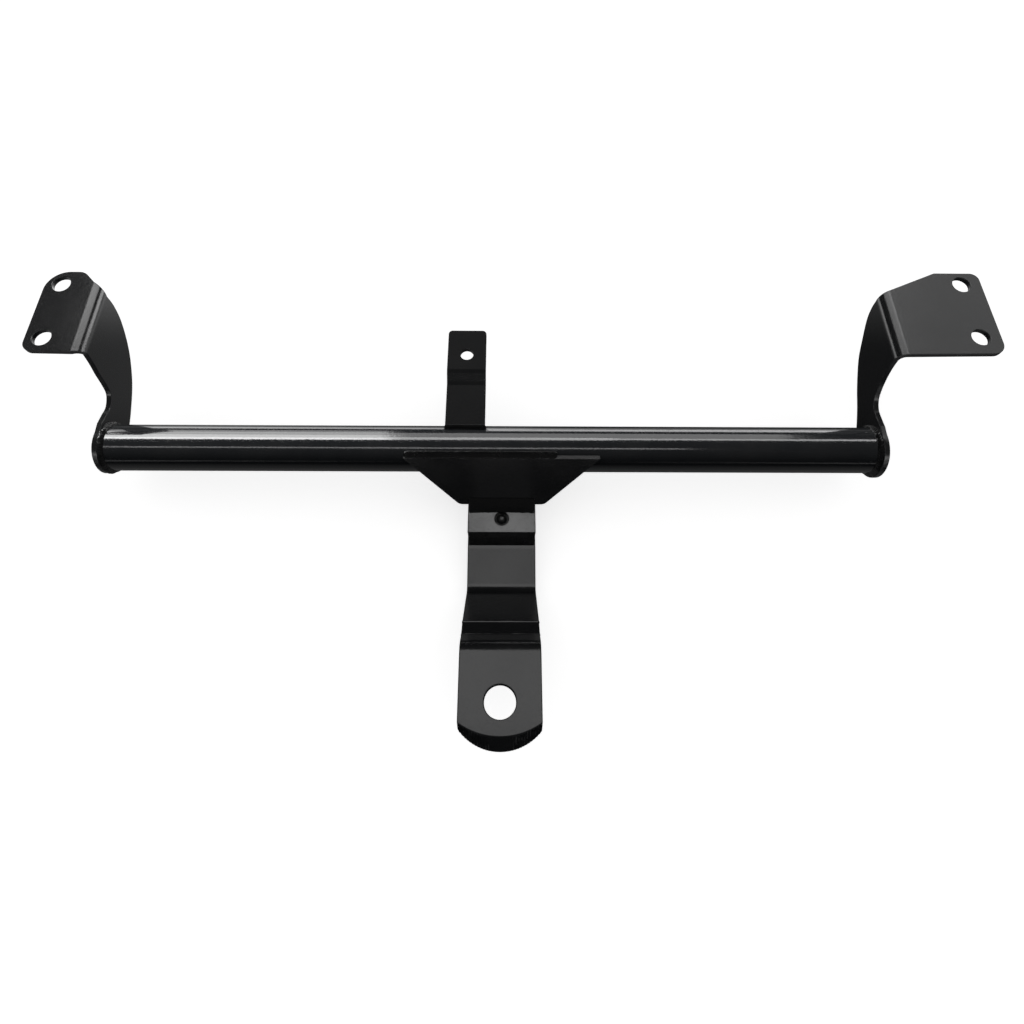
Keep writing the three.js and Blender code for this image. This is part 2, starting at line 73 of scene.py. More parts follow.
class NodeSheet:
    """A node tree being drawn, with short ways to add and join nodes."""

    def __init__(self, tree: bpy.types.NodeTree) -> None:
        """Starts on a tree.

        Args:
            tree: The tree that the nodes go into.
        """
        self.tree = tree

    def add(self, kind: str, **settings: object) -> bpy.types.Node:
        """Adds a node.

        Args:
            kind: The node's type name.
            settings: Properties to set on it.

        Returns:
            The node.
        """
        node = self.tree.nodes.new(kind)
        for key, value in settings.items():
            setattr(node, key, value)
        return node

    def join(self, out: bpy.types.NodeSocket, into: bpy.types.NodeSocket) -> None:
        """Joins an output socket to an input socket."""
        self.tree.links.new(out, into)

    def feed(self, node: bpy.types.Node, **values: object) -> bpy.types.Node:
        """Sets or joins a node's inputs, by socket name with _ for a space.

        Args:
            node: The node.
            values: A socket to join, or a value to set.

        Returns:
            The same node.
        """
        for key, value in values.items():
            socket = node.inputs[key.replace("_", " ")]
            if isinstance(value, bpy.types.NodeSocket):
                self.join(value, socket)
            else:
                socket.default_value = value
        return node

    def math(self, operation: str, *values: object, clamp: bool = False) -> bpy.types.NodeSocket:
        """Adds a Math node.

        Args:
            operation: The node's operation.
            values: Sockets or numbers for its inputs.
            clamp: Whether the result is held between 0 and 1.

        Returns:
            Its output socket.
        """
        node = self.add("ShaderNodeMath", operation=operation, use_clamp=clamp)
        for socket, value in zip(node.inputs, values):
            if isinstance(value, bpy.types.NodeSocket):
                self.join(value, socket)
            else:
                socket.default_value = value
        return node.outputs[0]

    def noise(
        self, where: bpy.types.NodeSocket, scale: object, detail: float
    ) -> bpy.types.NodeSocket:
        """Adds a noise texture and gives its value, from 0 to 1.

        Args:
            where: The coordinates.
            scale: Cells in a metre, as a number or a socket.
            detail: Octaves.

        Returns:
            The value socket.
        """
        node = self.add("ShaderNodeTexNoise")
        self.feed(node, Vector=where, Scale=scale, Detail=detail)
        return node.outputs[0]

    def step(
        self, value: object, low: object, high: object, to: Point2 = (0.0, 1.0)
    ) -> bpy.types.NodeSocket:
        """A smooth ramp of a value between two limits.

        Args:
            value: What is read.
            low: Where the ramp starts.
            high: Where it ends.
            to: What it gives at its ends.

        Returns:
            The result socket.
        """
        node = self.add("ShaderNodeMapRange", interpolation_type="SMOOTHSTEP")
        self.feed(node, Value=value, From_Min=low, From_Max=high, To_Min=to[0], To_Max=to[1])
        return node.outputs[0]


class GroupKit:
    """The shader groups that the finishes share, each made once."""

    SKIN = "paint_skin"
    RUB = "edge_rub"
    DUST = "settled_dust"

    # Cells in a metre of each pattern.
    WAVE_SCALE = 38.0
    GRIT_SCALE = 1900.0
    GLOSS_PATCH_SCALE = 24.0
    MOTTLE_SCALE = 90.0
    DUST_PATCH_SCALE = 30.0

    # The part of each pattern's range over which it comes in.
    SPECK_RANGE = (0.72, 0.8)
    GLOSS_PATCH_RANGE = (0.3, 0.7)
    CORNER_RANGE = (0.995, 0.9)
    BREAK_RANGE = (0.42, 0.62)
    LEVEL_RANGE = (0.35, 1.0)
    DUST_PATCH_RANGE = (0.35, 0.75)
    DUST_GRAIN_RANGE = (0.3, 0.75)

    def __init__(self) -> None:
        """Makes the groups."""
        self.skin = self._skin()
        self.rub = self._rub()
        self.dust = self._dust()

    @staticmethod
    def _new(name: str, inputs: Sequence[tuple[str, float]], outputs: Sequence[str]) -> NodeSheet:
        """Makes an empty group with number sockets.

        Args:
            name: The group's name.
            inputs: Name and usual value of each input.
            outputs: Name of each output.

        Returns:
            A sheet on the group, with its ends in `tree.nodes`.
        """
        tree = bpy.data.node_groups.new(name, "ShaderNodeTree")
        for label, value in inputs:
            socket = tree.interface.new_socket(label, in_out="INPUT", socket_type="NodeSocketFloat")
            socket.default_value = value
        for label in outputs:
            tree.interface.new_socket(label, in_out="OUTPUT", socket_type="NodeSocketFloat")
        sheet = NodeSheet(tree)
        sheet.add("NodeGroupInput", name="ends_in")
        sheet.add("NodeGroupOutput", name="ends_out")
        return sheet

    def _skin(self) -> bpy.types.NodeTree:
        """The sprayed skin: orange peel, a slow waviness, specks and patchy gloss.

        Returns:
            The group.
        """
        sheet = self._new(
            self.SKIN,
            (
                ("Peel Scale", 420.0),
                ("Peel Depth", 1.0),
                ("Wave Depth", 0.5),
                ("Speck Depth", 0.3),
                ("Gloss", 0.35),
                ("Gloss Spread", 0.06),
            ),
            ("Height", "Roughness", "Mottle"),
        )
        ends = sheet.tree.nodes["ends_in"].outputs
        where = sheet.add("ShaderNodeTexCoord").outputs["Object"]
        peel = sheet.noise(where, ends["Peel Scale"], 1.0)
        wave = sheet.noise(where, self.WAVE_SCALE, 1.0)
        grit = sheet.noise(where, self.GRIT_SCALE, 0.0)
        speck = sheet.step(grit, *self.SPECK_RANGE)
        height = sheet.math("MULTIPLY", peel, ends["Peel Depth"])
        wavy = sheet.math("MULTIPLY", wave, ends["Wave Depth"])
        specks = sheet.math("MULTIPLY", speck, ends["Speck Depth"])
        total = sheet.math("ADD", sheet.math("ADD", height, wavy), specks)
        patch = sheet.noise(where, self.GLOSS_PATCH_SCALE, 3.0)
        swing = sheet.step(patch, *self.GLOSS_PATCH_RANGE, (-1.0, 1.0))
        rough = sheet.math("MULTIPLY_ADD", swing, ends["Gloss Spread"], ends["Gloss"])
        out = sheet.tree.nodes["ends_out"]
        sheet.join(total, out.inputs["Height"])
        sheet.join(sheet.math("ADD", rough, 0.0, clamp=True), out.inputs["Roughness"])
        sheet.join(sheet.noise(where, self.MOTTLE_SCALE, 4.0), out.inputs["Mottle"])
        return sheet.tree

    def _rub(self) -> bpy.types.NodeTree:
        """Where handling has rubbed the corners: a broken line along each sharp edge.

        Returns:
            The group.
        """
        sheet = self._new(
            self.RUB,
            (("Reach", 0.0008), ("Amount", 0.5), ("Break Up", 160.0)),
            ("Mask",),
        )
        ends = sheet.tree.nodes["ends_in"].outputs
        bevel = sheet.add("ShaderNodeBevel", samples=4)
        sheet.join(ends["Reach"], bevel.inputs["Radius"])
        flat = sheet.add("ShaderNodeNewGeometry").outputs["Normal"]
        dot = sheet.add("ShaderNodeVectorMath", operation="DOT_PRODUCT")
        sheet.join(bevel.outputs[0], dot.inputs[0])
        sheet.join(flat, dot.inputs[1])
        corner = sheet.step(dot.outputs["Value"], *self.CORNER_RANGE)
        where = sheet.add("ShaderNodeTexCoord").outputs["Object"]
        broken = sheet.step(sheet.noise(where, ends["Break Up"], 5.0), *self.BREAK_RANGE)
        mask = sheet.math("MULTIPLY", corner, broken)
        sheet.join(
            sheet.math("MULTIPLY", mask, ends["Amount"], clamp=True),
            sheet.tree.nodes["ends_out"].inputs["Mask"],
        )
        return sheet.tree

    def _dust(self) -> bpy.types.NodeTree:
        """A thin film of workshop dust on what faces up.

        Returns:
            The group.
        """
        sheet = self._new(self.DUST, (("Amount", 0.1), ("Grain", 700.0)), ("Mask",))
        ends = sheet.tree.nodes["ends_in"].outputs
        parts = sheet.add("ShaderNodeSeparateXYZ")
        sheet.join(sheet.add("ShaderNodeNewGeometry").outputs["Normal"], parts.inputs[0])
        level = sheet.step(parts.outputs["Z"], *self.LEVEL_RANGE)
        where = sheet.add("ShaderNodeTexCoord").outputs["Object"]
        cloud = sheet.noise(where, self.DUST_PATCH_SCALE, 4.0)
        patch = sheet.step(cloud, *self.DUST_PATCH_RANGE, (0.25, 1.0))
        specks = sheet.noise(where, ends["Grain"], 2.0)
        grain = sheet.step(specks, *self.DUST_GRAIN_RANGE, (0.3, 1.0))
        film = sheet.math("MULTIPLY", level, sheet.math("MULTIPLY", patch, grain))
        sheet.join(
            sheet.math("MULTIPLY", film, ends["Amount"], clamp=True),
            sheet.tree.nodes["ends_out"].inputs["Mask"],
        )
        return sheet.tree


# ---- Finishes -----------------------------------------------------------------------------------


@dataclass(frozen=True)
class CoatFinish:
    """Black powder coat on steel, as one finish of the record."""

    slot: Slot
    tint: Point3 = (0.0042, 0.0045, 0.005)
    tint_high: Point3 = (0.0058, 0.0061, 0.0066)
    worn_tint: Point3 = (0.075, 0.075, 0.078)
    dust_tint: Point3 = (0.2, 0.19, 0.175)
    worn_rough: float = 0.12
    dust_rough: float = 0.5
    gloss: float = 0.2
    gloss_spread: float = 0.03
    peel_scale: float = 420.0
    peel_depth: float = 1.0
    wave_depth: float = 0.6
    speck_depth: float = 0.25
    bump_height: float = 0.00006
    rub: float = 0.3
    dust: float = 0.02

    def material(self, kit: GroupKit) -> bpy.types.Material:
        """Makes the material.

        Args:
            kit: The shared shader groups.

        Returns:
            The material.
        """
        made = bpy.data.materials.new(self.slot.value)
        made.use_nodes = True
        made.node_tree.nodes.clear()
        sheet = NodeSheet(made.node_tree)
        skin = sheet.add("ShaderNodeGroup", node_tree=kit.skin)
        sheet.feed(
            skin,
            Peel_Scale=self.peel_scale,
            Peel_Depth=self.peel_depth,
            Wave_Depth=self.wave_depth,
            Speck_Depth=self.speck_depth,
            Gloss=self.gloss,
            Gloss_Spread=self.gloss_spread,
        )
        rub = sheet.feed(sheet.add("ShaderNodeGroup", node_tree=kit.rub), Amount=self.rub)
        dust = sheet.feed(sheet.add("ShaderNodeGroup", node_tree=kit.dust), Amount=self.dust)
        paint = self._mix(sheet, skin.outputs["Mottle"], self.tint, self.tint_high)
        worn = self._mix(sheet, rub.outputs["Mask"], paint, self.worn_tint)
        dusty = self._mix(sheet, dust.outputs["Mask"], worn, self.dust_tint)
        film = dust.outputs["Mask"]
        rough = sheet.math("MULTIPLY_ADD", film, self.dust_rough, skin.outputs["Roughness"])
        worn_mask = rub.outputs["Mask"]
        rough = sheet.math("MULTIPLY_ADD", worn_mask, self.worn_rough, rough, clamp=True)
        bump = sheet.add("ShaderNodeBump")
        sheet.feed(bump, Strength=1.0, Distance=self.bump_height, Height=skin.outputs["Height"])
        shader = sheet.add("ShaderNodeBsdfPrincipled")
        sheet.feed(shader, Base_Color=dusty, Roughness=rough, Normal=bump.outputs[0], IOR=1.5)
        out = sheet.add("ShaderNodeOutputMaterial")
        sheet.join(shader.outputs[0], out.inputs[0])
        made.diffuse_color = (*self.tint, 1.0)
        return made

    @staticmethod
    def _mix(
        sheet: NodeSheet, by: bpy.types.NodeSocket, a: object, b: object
    ) -> bpy.types.NodeSocket:
        """Mixes two colours.

        Args:
            sheet: Where the node goes.
            by: The share of the second colour.
            a: A colour, or a socket that gives one.
            b: A colour, or a socket that gives one.

        Returns:
            The mixed colour's socket.
        """
        node = sheet.add("ShaderNodeMix", data_type="RGBA")
        sheet.join(by, node.inputs[0])
        for socket, value in ((node.inputs[6], a), (node.inputs[7], b)):
            if isinstance(value, bpy.types.NodeSocket):
                sheet.join(value, socket)
            else:
                socket.default_value = (*value, 1.0)
        return node.outputs[2]


@dataclass
class PaintShop:
    """The finishes, made once each and handed out by slot."""

    finishes: tuple[CoatFinish, ...] = (
        CoatFinish(Slot.PLATE),
        CoatFinish(
            Slot.TUBE,
            tint=(0.004, 0.0044, 0.005),
            tint_high=(0.0052, 0.0057, 0.0064),
            gloss=0.1,
            gloss_spread=0.02,
            peel_depth=0.5,
            wave_depth=0.8,
        ),
        CoatFinish(
            Slot.BEAD,
            tint=(0.0022, 0.0024, 0.0026),
            tint_high=(0.0042, 0.0044, 0.0048),
            gloss=0.24,
            gloss_spread=0.06,
            peel_depth=1.6,
            speck_depth=0.8,
            rub=0.1,
            dust=0.01,
        ),
    )
    made: dict[Slot, bpy.types.Material] = field(default_factory=dict)

    def open(self) -> None:
        """Makes every finish's material."""
        kit = GroupKit()
        for finish in self.finishes:
            self.made[finish.slot] = finish.material(kit)

    def coat(self, piece: bpy.types.Object, slot: Slot) -> None:
        """Puts one finish on the whole of a piece.

        Args:
            piece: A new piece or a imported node.
            slot: The finish.
        """
        if not piece.data.materials:
            piece.data.materials.append(self.made[slot])
        for held in piece.material_slots:
            held.link = "OBJECT"
            held.material = self.made[slot]


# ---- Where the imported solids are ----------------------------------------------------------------


@dataclass(frozen=True)
class Place:
    """Key places of the tow bar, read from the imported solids."""

    middle_x: float
    axis_y: float
    axis_z: float
    tube_r: float
    tube_left: float
    tube_right: float

    @classmethod
    def read(cls) -> "Place":
        """Reads the places.

        Returns:
            The places.
        """
        low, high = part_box("crossbar_tube")
        stub_low, stub_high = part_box("stub_plate")
        return cls(
            middle_x=(stub_low[0] + stub_high[0]) / 2,
            axis_y=(low[1] + high[1]) / 2,
            axis_z=(low[2] + high[2]) / 2,
            tube_r=(high[2] - low[2]) / 2,
            tube_left=low[0],
            tube_right=high[0],
        )

    def at(self, x: float, y: float, z: float) -> Vector:
        """A point given in millimetres from the crossbar's axis at the tongue's centre line."""
        return Vector((self.middle_x + x * MM, self.axis_y + y * MM, self.axis_z + z * MM))


# ---- Edge softening -----------------------------------------------------------------------------


@dataclass
class EdgeSoftener:
    """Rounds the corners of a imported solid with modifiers, and smooths its curved faces."""

    weld: float = 0.00002
    flat_angle: float = math.radians(0.1)
    crease: float = math.radians(28)
    sharp: float = math.radians(40)
    steps: int = 3
    face_weight: int = 50
    shade: bpy.types.NodeTree | None = None

    def soften(self, node: bpy.types.Object, width: float, held: bool = False) -> None:
        """Adds the modifiers to a node.

        Args:
            node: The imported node.
            width: Width of the rounding, in metres.
            held: Whether roundings are held back where they would overlap.
        """
        merge = node.modifiers.new("merge", "WELD")
        merge.merge_threshold = self.weld
        clean = node.modifiers.new("clean", "DECIMATE")
        clean.decimate_type = "DISSOLVE"
        clean.angle_limit = self.flat_angle
        bevel = node.modifiers.new("round", "BEVEL")
        bevel.width = width
        bevel.segments = self.steps
        bevel.limit_method = "ANGLE"
        bevel.angle_limit = self.crease
        bevel.use_clamp_overlap = held
        bevel.loop_slide = False
        smooth = node.modifiers.new("smooth", "NODES")
        smooth.node_group = self._smoother()
        level = node.modifiers.new("level", "WEIGHTED_NORMAL")
        level.keep_sharp = True
        level.weight = self.face_weight
        level.mode = "FACE_AREA_WITH_ANGLE"

    def _smoother(self) -> bpy.types.NodeTree:
        """The group that shades curved faces smooth and keeps sharp edges.

        Returns:
            The group, made once.
        """
        if self.shade:
            return self.shade
        tree = bpy.data.node_groups.new("smooth_curves", "GeometryNodeTree")
        tree.interface.new_socket("Geometry", in_out="INPUT", socket_type="NodeSocketGeometry")
        tree.interface.new_socket("Geometry", in_out="OUTPUT", socket_type="NodeSocketGeometry")
        sheet = NodeSheet(tree)
        begin = sheet.add("NodeGroupInput")
        end = sheet.add("NodeGroupOutput")
        faces = sheet.add("GeometryNodeSetShadeSmooth", domain="FACE")
        edges = sheet.add("GeometryNodeSetShadeSmooth", domain="EDGE")
        angle = sheet.add("GeometryNodeInputMeshEdgeAngle")
        sharp = sheet.add("FunctionNodeCompare", data_type="FLOAT", operation="GREATER_THAN")
        sharp.inputs[1].default_value = self.sharp
        sheet.join(angle.outputs[0], sharp.inputs[0])
        faces.inputs["Shade Smooth"].default_value = True
        edges.inputs["Shade Smooth"].default_value = False
        sheet.join(begin.outputs[0], faces.inputs["Geometry"])
        sheet.join(faces.outputs[0], edges.inputs["Geometry"])
        sheet.join(sharp.outputs[0], edges.inputs["Selection"])
        sheet.join(edges.outputs[0], end.inputs[0])
        self.shade = tree
        return tree


# ---- Weld beads ---------------------------------------------------------------------------------


@dataclass
class WeldBead:
    """A rippled run of weld, laid as stations of a section along its line.

    A station's section has a face between two toes and the root behind them. The face is domed,
    crossed by crescent ripples and a little uneven, as a hand-laid run is. Without ripples it is
    a plain raised line. Millimetres.
    """

    name: str
    stands_for: str | None
    place: Callable[[float, Point2], Vector]
    toe_a: Point2
    toe_b: Point2
    root: Sequence[Point2]
    length: float
    closed: bool = False
    dome: float = 0.9
    ripple: float = 0.3
    pitch: float = 2.1
    uneven: float = 0.5
    taper: float = 3.0
    bow: float = 0.0
    slot: Slot = Slot.BEAD
    across: int = 12
    per_ripple: int = 7
    seed: float = 0.0

    def build(self) -> bpy.types.Object:
        """Makes the bead's mesh.

        Returns:
            The new piece.
        """
        count = max(12, round(self.length / self.pitch * self.per_ripple))
        mesh = bmesh.new()
        rings = []
        for i in range(count if self.closed else count + 1):
            rings.append([mesh.verts.new(p) for p in self._station(i / count)])
        pairs = list(zip(rings, rings[1:]))
        if self.closed:
            pairs.append((rings[-1], rings[0]))
        for here, there in pairs:
            for j in range(len(here)):
                k = (j + 1) % len(here)
                mesh.faces.new((here[j], here[k], there[k], there[j]))
        if not self.closed:
            mesh.faces.new(list(reversed(rings[0])))
            mesh.faces.new(rings[-1])
        bmesh.ops.recalc_face_normals(mesh, faces=mesh.faces)
        for face in mesh.faces:
            face.smooth = len(face.verts) == 4
        made = bpy.data.meshes.new(self.name)
        mesh.to_mesh(made)
        mesh.free()
        piece = bpy.data.objects.new(self.name, made)
        bpy.context.scene.collection.objects.link(piece)
        if self.stands_for:
            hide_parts(self.stands_for)
        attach(piece, "root")
        return piece

    def _station(self, u: float) -> list[Vector]:
        """The points of the section at one place.

        Args:
            u: How far along the run, from 0 to 1.

        Returns:
            The points, face first and then root.
        """
        b = Vector(self.toe_b)
        a = Vector(self.toe_a)
        a += (a - b).normalized() * self.bow * (2 * u - 1) ** 2
        root = [Vector(p) for p in self.root]
        heart = sum(root, Vector((0.0, 0.0))) / len(root)
        run = u * self.length
        end = 1.0
        if not self.closed:
            near = min(run, self.length - run) / self.taper
            end = math.sqrt(max(0.0, 1 - (1 - min(near, 1.0)) ** 2)) * 0.75 + 0.25
        out = Vector((-(b - a).y, (b - a).x)).normalized()
        if out.dot(heart - a) > 0:
            out = -out
        points = []
        for j in range(self.across + 1):
            t = j / self.across
            bulge = math.sin(math.pi * t)
            wobble = self.uneven * self._rough(run, t * 0.8, 0.22)
            crescent = run + (2 * t - 1) ** 2 * self.pitch * 0.9 + 0.5 * self._rough(run, 0.0, 0.15)
            beat = abs(math.sin(math.pi * crescent / self.pitch)) ** 0.6
            lift = self.dome * bulge + self.ripple * (beat - 0.6) * bulge**0.5
            lift += wobble * bulge**0.4 * 0.5
            toes = self.uneven * 0.55 * math.cos(math.pi * t) * self._rough(run, 3.0 + round(t), 0.3)
            p = a.lerp(b, t) + out * lift + (a - b).normalized() * toes
            points.append(heart.lerp(p, end))
        points += root
        return [self.place(run, (p.x, p.y)) for p in points]

    def _rough(self, run: float, across: float, grain: float) -> float:
        """Smooth unevenness between about -1 and 1.

        Args:
            run: Millimetres along the bead.
            across: Place across it.
            grain: Swings in a millimetre.

        Returns:
            The unevenness, which meets itself where a run closes.
        """
        if self.closed:
            turn = 2 * math.pi * run / self.length
            reach = self.length * grain / (2 * math.pi)
            spot = Vector((reach * math.cos(turn), reach * math.sin(turn), across + self.seed))
        else:
            spot = Vector((run * grain, across, self.seed))
        return noise.noise(spot) * 1.6


# ---- Sub-assemblies -----------------------------------------------------------------------------

# Millimetres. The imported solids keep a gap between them, which a bead bites across on both sides.
GAP = 0.3
BITE = 0.2


@dataclass
class SubAssembly:
    """A group of pieces of the tow bar that are built and dressed together."""

    place: Place
    shop: PaintShop
    soft: EdgeSoftener

    def dress(self, name: str, slot: Slot, width: float, held: bool = False) -> None:
        """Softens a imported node's corners and paints it.

        Args:
            name: The node.
            slot: Its finish.
            width: Rounding of its corners in metres.
            held: Whether roundings are held back where they would overlap.
        """
        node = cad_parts[name]
        self.soft.soften(node, width, held)
        self.shop.coat(node, slot)
        log.info("dressed %s", name)

    def lay(self, bead: WeldBead) -> None:
        """Builds and paints a bead.

        Args:
            bead: The bead.
        """
        piece = bead.build()
        self.shop.coat(piece, bead.slot)
        log.info("laid %s, %d vertices", bead.name, len(piece.data.vertices))

    def straight(self, start: float) -> Callable[[float, Point2], Vector]:
        """Placing for a run along +X.

        Args:
            start: Where it starts, in millimetres from the centre line.

        Returns:
            A function from the run and a section point to the place.
        """
        return lambda run, p: self.place.at(start + run, p[0], p[1])


@dataclass
class Crossbar(SubAssembly):
    """The round tube between the brackets."""

    corner: float = 0.0003

    def build(self) -> None:
        """Dresses the tube."""
        self.dress("crossbar_tube", Slot.TUBE, self.corner)


@dataclass
class EndBracket(SubAssembly):
    """One bent bracket and the ring of weld that holds it on the tube."""

    side: str = "left"
    leg: float = 3.4
    corner: float = 0.0007

    def build(self) -> None:
        """Dresses the plate and lays its ring of weld."""
        self.dress(f"bracket_{self.side}", Slot.PLATE, self.corner)
        r = self.place.tube_r / MM - BITE
        way = 1.0 if self.side == "left" else -1.0
        face = self.place.tube_left if self.side == "left" else self.place.tube_right
        face = (face - self.place.middle_x) / MM - way * 0.4

        def ring(run: float, p: Point2) -> Vector:
            """A point of the ring from its run and (radius, x)."""
            turn = run / (r + 2)
            return self.place.at(p[1], -p[0] * math.sin(turn), p[0] * math.cos(turn))

        self.lay(
            WeldBead(
                name=f"ring_weld_{self.side}",
                stands_for=f"weld_ring_{self.side}",
                place=ring,
                toe_a=(r + self.leg, face),
                toe_b=(r, face + way * self.leg * 1.35),
                root=((r - BITE, face + way * 2.0), (r - BITE, face)),
                length=2 * math.pi * (r + 2),
                closed=True,
                dome=0.6,
                ripple=0.5,
                pitch=2.6,
                uneven=0.9,
                seed=3.0 if self.side == "left" else 11.0,
            )
        )


@dataclass
class StubAndTongue(SubAssembly):
    """The stub plate, the swan-neck tongue under it and what joins them."""

    corner: float = 0.0008
    marks: tuple[tuple[str, Point2, float], ...] = (
        ("press_mark_lower", (-164.8, 47.5), 49.0),
        ("press_mark_upper", (-176.5, 57.3), 50.0),
    )
    mark_w: float = 2.6
    mark_h: float = 1.0
    mark_sunk: float = 0.5
    rear_weld_high: float = math.radians(38)
    rear_weld_low: float = math.radians(74)
    plug_rings: tuple[Point2, ...] = (
        (0.0, -0.1),
        (1.6, -0.15),
        (3.0, -0.3),
        (3.9, -0.7),
        (4.3, -1.5),
        (4.9, -2.2),
        (5.6, -2.0),
    )
    plug_rim: float = -1.5
    plug_foot: float = -6.0
    plug_spots: int = 56

    def build(self) -> None:
        """Dresses the two bars, and lays the plug weld and the beads."""
        self.dress("stub_plate", Slot.PLATE, self.corner)
        self.dress("tongue_bar", Slot.PLATE, self.corner)
        self._plug()
        self._front()
        self._rears()
        self._marks()

    def _span(self) -> tuple[float, float]:
        """The run of a bead as wide as the bar.

        Returns:
            Its left end from the centre line, and its length, in millimetres.
        """
        low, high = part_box("stub_plate")
        half = (high[0] - low[0]) / MM / 2
        return -half + 0.4, 2 * half - 0.8

    def _edges(self, name: str) -> tuple[Vector, Vector]:
        """A node's box.

        Args:
            name: The node.

        Returns:
            Its lowest and highest corners, in millimetres from the crossbar's axis.
        """
        origin = self.place.at(0, 0, 0)
        low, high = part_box(name)
        return (Vector(low) - origin) / MM, (Vector(high) - origin) / MM

    def _plug(self) -> None:
        """The plug weld: a pool of metal in a drilled hole, a little proud in the middle."""
        low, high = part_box("plug_weld")
        cx, cy = (low[0] + high[0]) / 2, (low[1] + high[1]) / 2
        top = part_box("stub_plate")[1][2]
        edge = (high[0] - low[0]) / MM / 2 + GAP
        rings = (*self.plug_rings, (edge, self.plug_rim), (edge, self.plug_foot))
        last = len(self.plug_rings) - 1
        count = self.plug_spots
        mesh = bmesh.new()
        made: list[list[bmesh.types.BMVert]] = []
        for k, (radius, drop) in enumerate(rings):
            spots = 1 if radius == 0 else count
            ring = []
            for i in range(spots):
                a = 2 * math.pi * i / count
                spot = Vector((radius * math.cos(a) * 0.6, radius * math.sin(a) * 0.6, 5.0))
                rough = noise.noise(spot)
                sink = drop + (0.35 * rough if 0 < k <= last else 0.0)
                reach = radius * (1 + (0.05 * rough if 0 < k < last else 0.0)) * MM
                at = (cx + reach * math.cos(a), cy + reach * math.sin(a), top + sink * MM)
                ring.append(mesh.verts.new(at))
            made.append(ring)
        for i in range(count):
            j = (i + 1) % count
            mesh.faces.new((made[0][0], made[1][i], made[1][j]))
            for inner, outer in zip(made[1:], made[2:]):
                mesh.faces.new((inner[i], outer[i], outer[j], inner[j]))
        mesh.faces.new(list(reversed(made[-1])))
        bmesh.ops.recalc_face_normals(mesh, faces=mesh.faces)
        for face in mesh.faces:
            face.smooth = len(face.verts) < 5
        data = bpy.data.meshes.new("plug_pool")
        mesh.to_mesh(data)
        mesh.free()
        piece = bpy.data.objects.new("plug_pool", data)
        bpy.context.scene.collection.objects.link(piece)
        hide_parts("plug_weld")
        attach(piece, "root")
        self.shop.coat(piece, Slot.BEAD)
        log.info("laid plug_pool")

    def _front(self) -> None:
        """The bead between the stub's front edge and the tongue."""
        start, length = self._span()
        stub, _ = self._edges("stub_plate")
        bead, bead_high = self._edges("weld_stub_front")
        y = stub.y
        z = stub.z - 0.5
        self.lay(
            WeldBead(
                name="stub_front_weld",
                stands_for="weld_stub_front",
                place=self.straight(start),
                toe_a=(bead.y, z),
                toe_b=(y, bead_high.z + 0.3),
                root=((y + 0.5, bead_high.z - 1.0), (y + 0.5, z)),
                length=length,
                dome=0.9,
                ripple=0.35,
                uneven=0.9,
                taper=1.2,
                seed=21.0,
            )
        )

    def _marks(self) -> None:
        """The two raised lines that the press leaves across the neck."""
        low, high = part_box("tongue_bar")
        half = (high[0] - low[0]) / MM / 2 + 0.3
        stub, _ = self._edges("stub_plate")
        for name, (y, up), rise in self.marks:
            turn = math.radians(rise)
            along = Vector((-math.cos(turn), math.sin(turn)))
            out = Vector((math.sin(turn), math.cos(turn)))
            here = Vector((y, stub.z - GAP + up)) - out * self.mark_sunk
            self.lay(
                WeldBead(
                    name=name,
                    stands_for=None,
                    place=self.straight(-half),
                    toe_a=tuple(here - along * self.mark_w / 2),
                    toe_b=tuple(here + along * self.mark_w / 2),
                    root=(tuple(here + along * 0.9 - out), tuple(here - along * 0.9 - out)),
                    length=2 * half,
                    dome=self.mark_h,
                    ripple=0.0,
                    uneven=0.16,
                    taper=1.0,
                    slot=Slot.PLATE,
                    seed=90.0 + rise,
                )
            )

    def _rears(self) -> None:
        """The beads behind: tube to stub, and the tongue's rear edge to the stub."""
        start, length = self._span()
        _, stub_high = self._edges("stub_plate")
        r = self.place.tube_r / MM - BITE
        z = stub_high.z - GAP
        skin = []
        for k in range(5):
            a = self.rear_weld_high + (self.rear_weld_low - self.rear_weld_high) * k / 4
            skin.append((r * math.cos(a), -r * math.sin(a)))
        self.lay(
            WeldBead(
                name="stub_rear_weld",
                stands_for="weld_stub_rear",
                place=self.straight(start),
                toe_a=(stub_high.y - 0.6, z),
                toe_b=skin[0],
                root=(*skin[1:], (skin[-1][0], z)),
                length=length,
                dome=0.4,
                seed=31.0,
            )
        )
        _, tongue_high = self._edges("tongue_bar")
        stub_low, _ = self._edges("stub_plate")
        bead_low, bead_high = self._edges("weld_tongue_rear")
        top = stub_low.z + GAP
        y = tongue_high.y - GAP
        self.lay(
            WeldBead(
                name="tongue_rear_weld",
                stands_for="weld_tongue_rear",
                place=self.straight(start),
                toe_a=(bead_high.y, top),
                toe_b=(y, bead_low.z),
                root=((y - BITE, bead_low.z + 1.5), (y - BITE, top)),
                length=length,
                dome=0.5,
                seed=41.0,
            )
        )


